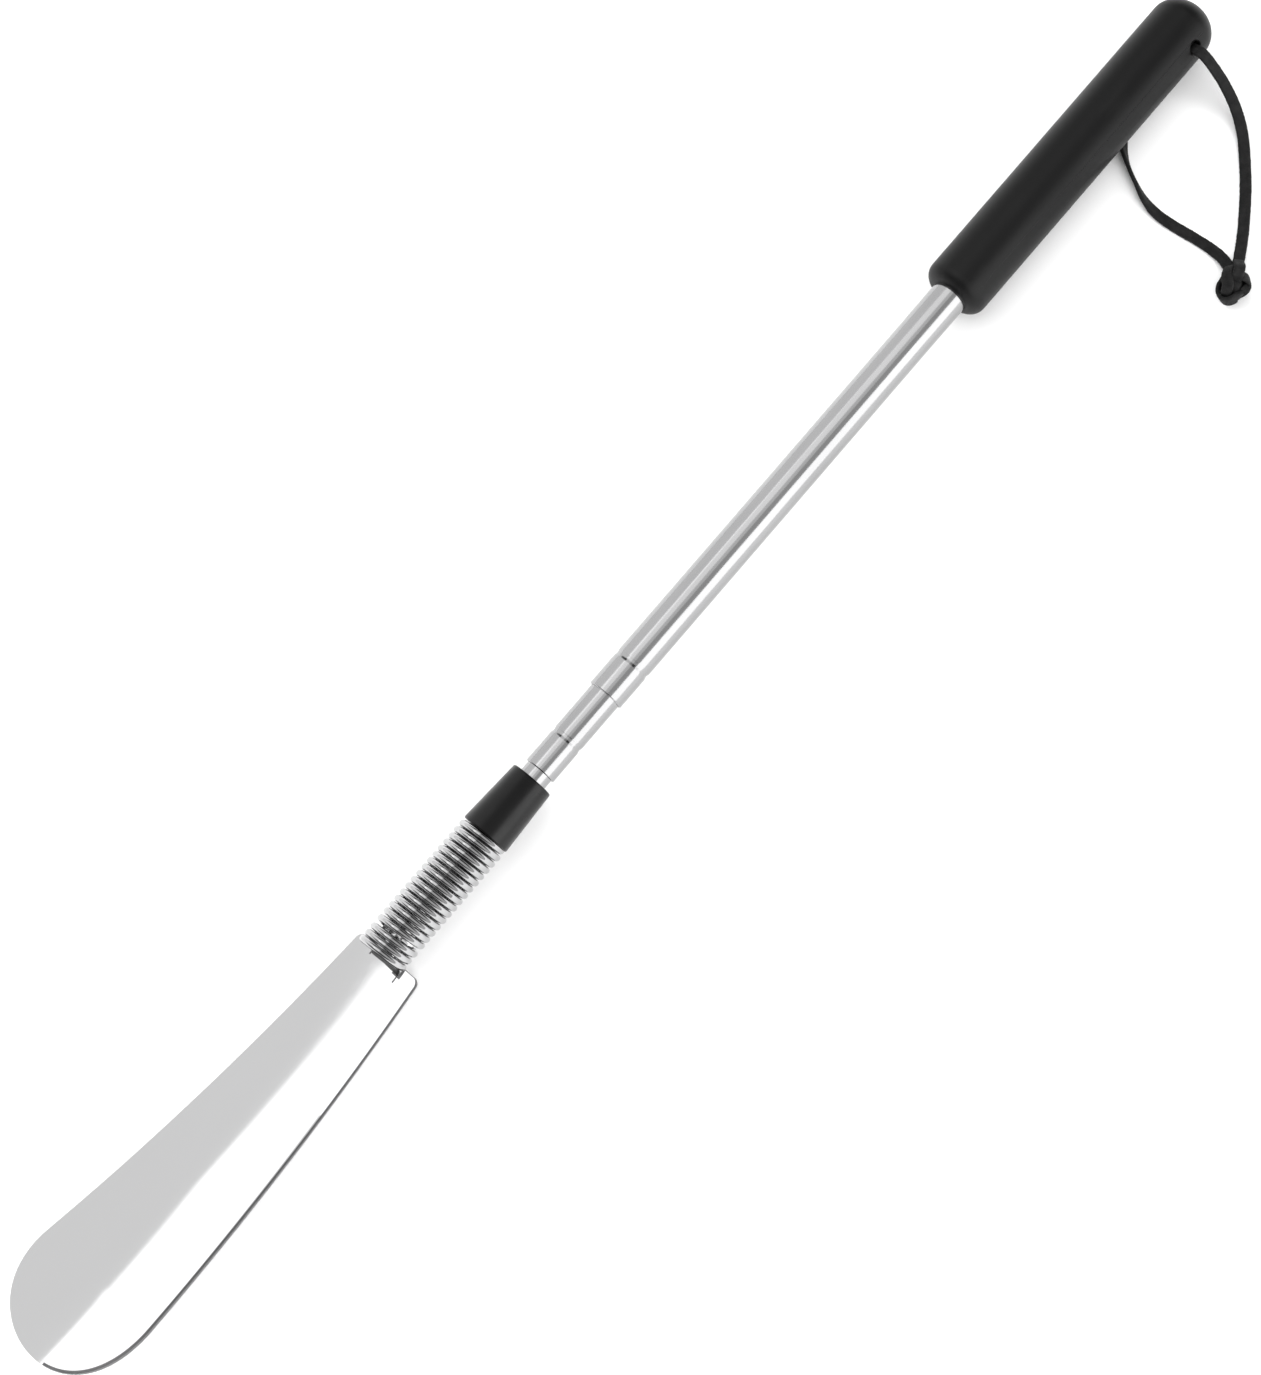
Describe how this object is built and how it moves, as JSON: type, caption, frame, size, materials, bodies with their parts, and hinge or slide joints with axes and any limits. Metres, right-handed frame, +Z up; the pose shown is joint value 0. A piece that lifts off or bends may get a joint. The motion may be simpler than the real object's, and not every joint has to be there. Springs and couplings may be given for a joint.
{
  "type": "long shoehorn",
  "caption": "Telescopic metal shoehorn: cylindrical grip with a hanging lace, nested sliding tubes, a flexible coil spring and a trough-shaped blade.",
  "frame": {"origin": "middle of the object's length, on the table that it lies on", "axes": "+X along the tubes towards the grip's domed end, +Z up and the blade's trough facing up, the lace's loop on the -Y side"},
  "size_m": [0.425, 0.0726, 0.0178],
  "materials": {
    "grip_plastic": "matt black moulded grip with a soft sheen",
    "tube_steel": "bright drawn stainless steel tube",
    "inner_plastic": "black moulded plastic",
    "lace_leather": "flat black leather lace with raw edges",
    "clip_brass": "spring brass",
    "guide_plastic": "natural acetal",
    "ferrule_plastic": "semi-gloss black plastic",
    "spring_chrome": "chrome-plated spring wire",
    "blade_steel": "mirror-polished stainless steel sheet"
  },
  "bodies": {
    "handle": {"grip": "grip_plastic", "outer_tube": "tube_steel", "tube_plug": "inner_plastic", "lace": "lace_leather", "lace_knot": "lace_leather"},
    "mid_clip_ring": {"mid_clip": "clip_brass"},
    "mid_section": {"mid_tube": "tube_steel", "mid_bush": "guide_plastic"},
    "inner_clip_ring": {"inner_clip": "clip_brass"},
    "inner_section": {"inner_tube": "tube_steel", "inner_bush": "guide_plastic", "ferrule": "ferrule_plastic"},
    "spring_neck": {"spring": "spring_chrome"},
    "blade_end": {"blade": "blade_steel"}
  },
  "joints": [
    {"name": "mid_slide", "type": "slide", "parent": "handle", "child": "mid_clip_ring", "axis": [-1, 0, 0], "range_m": [0, 0.183]},
    {"name": "mid_spin", "type": "hinge", "parent": "mid_clip_ring", "child": "mid_section", "pos_m": [0, 0, 0.0095], "axis": [1, 0, 0], "continuous": true},
    {"name": "inner_slide", "type": "slide", "parent": "mid_section", "child": "inner_clip_ring", "axis": [-1, 0, 0], "range_m": [0, 0.191]},
    {"name": "inner_spin", "type": "hinge", "parent": "inner_clip_ring", "child": "inner_section", "pos_m": [0, 0, 0.0095], "axis": [1, 0, 0], "continuous": true},
    {"name": "spring_pitch", "type": "hinge", "parent": "inner_section", "child": "spring_neck", "pos_m": [-0.0735, 0, 0.0095], "axis": [0, 1, 0], "range_deg": [-40, 40], "stiffness_Nm_per_rad": 1, "deforming": ["spring"]},
    {"name": "spring_yaw", "type": "hinge", "parent": "spring_neck", "child": "blade_end", "pos_m": [-0.0735, 0, 0.0095], "axis": [0, 0, 1], "range_deg": [-40, 40], "stiffness_Nm_per_rad": 1, "deforming": ["spring"]}
  ]
}
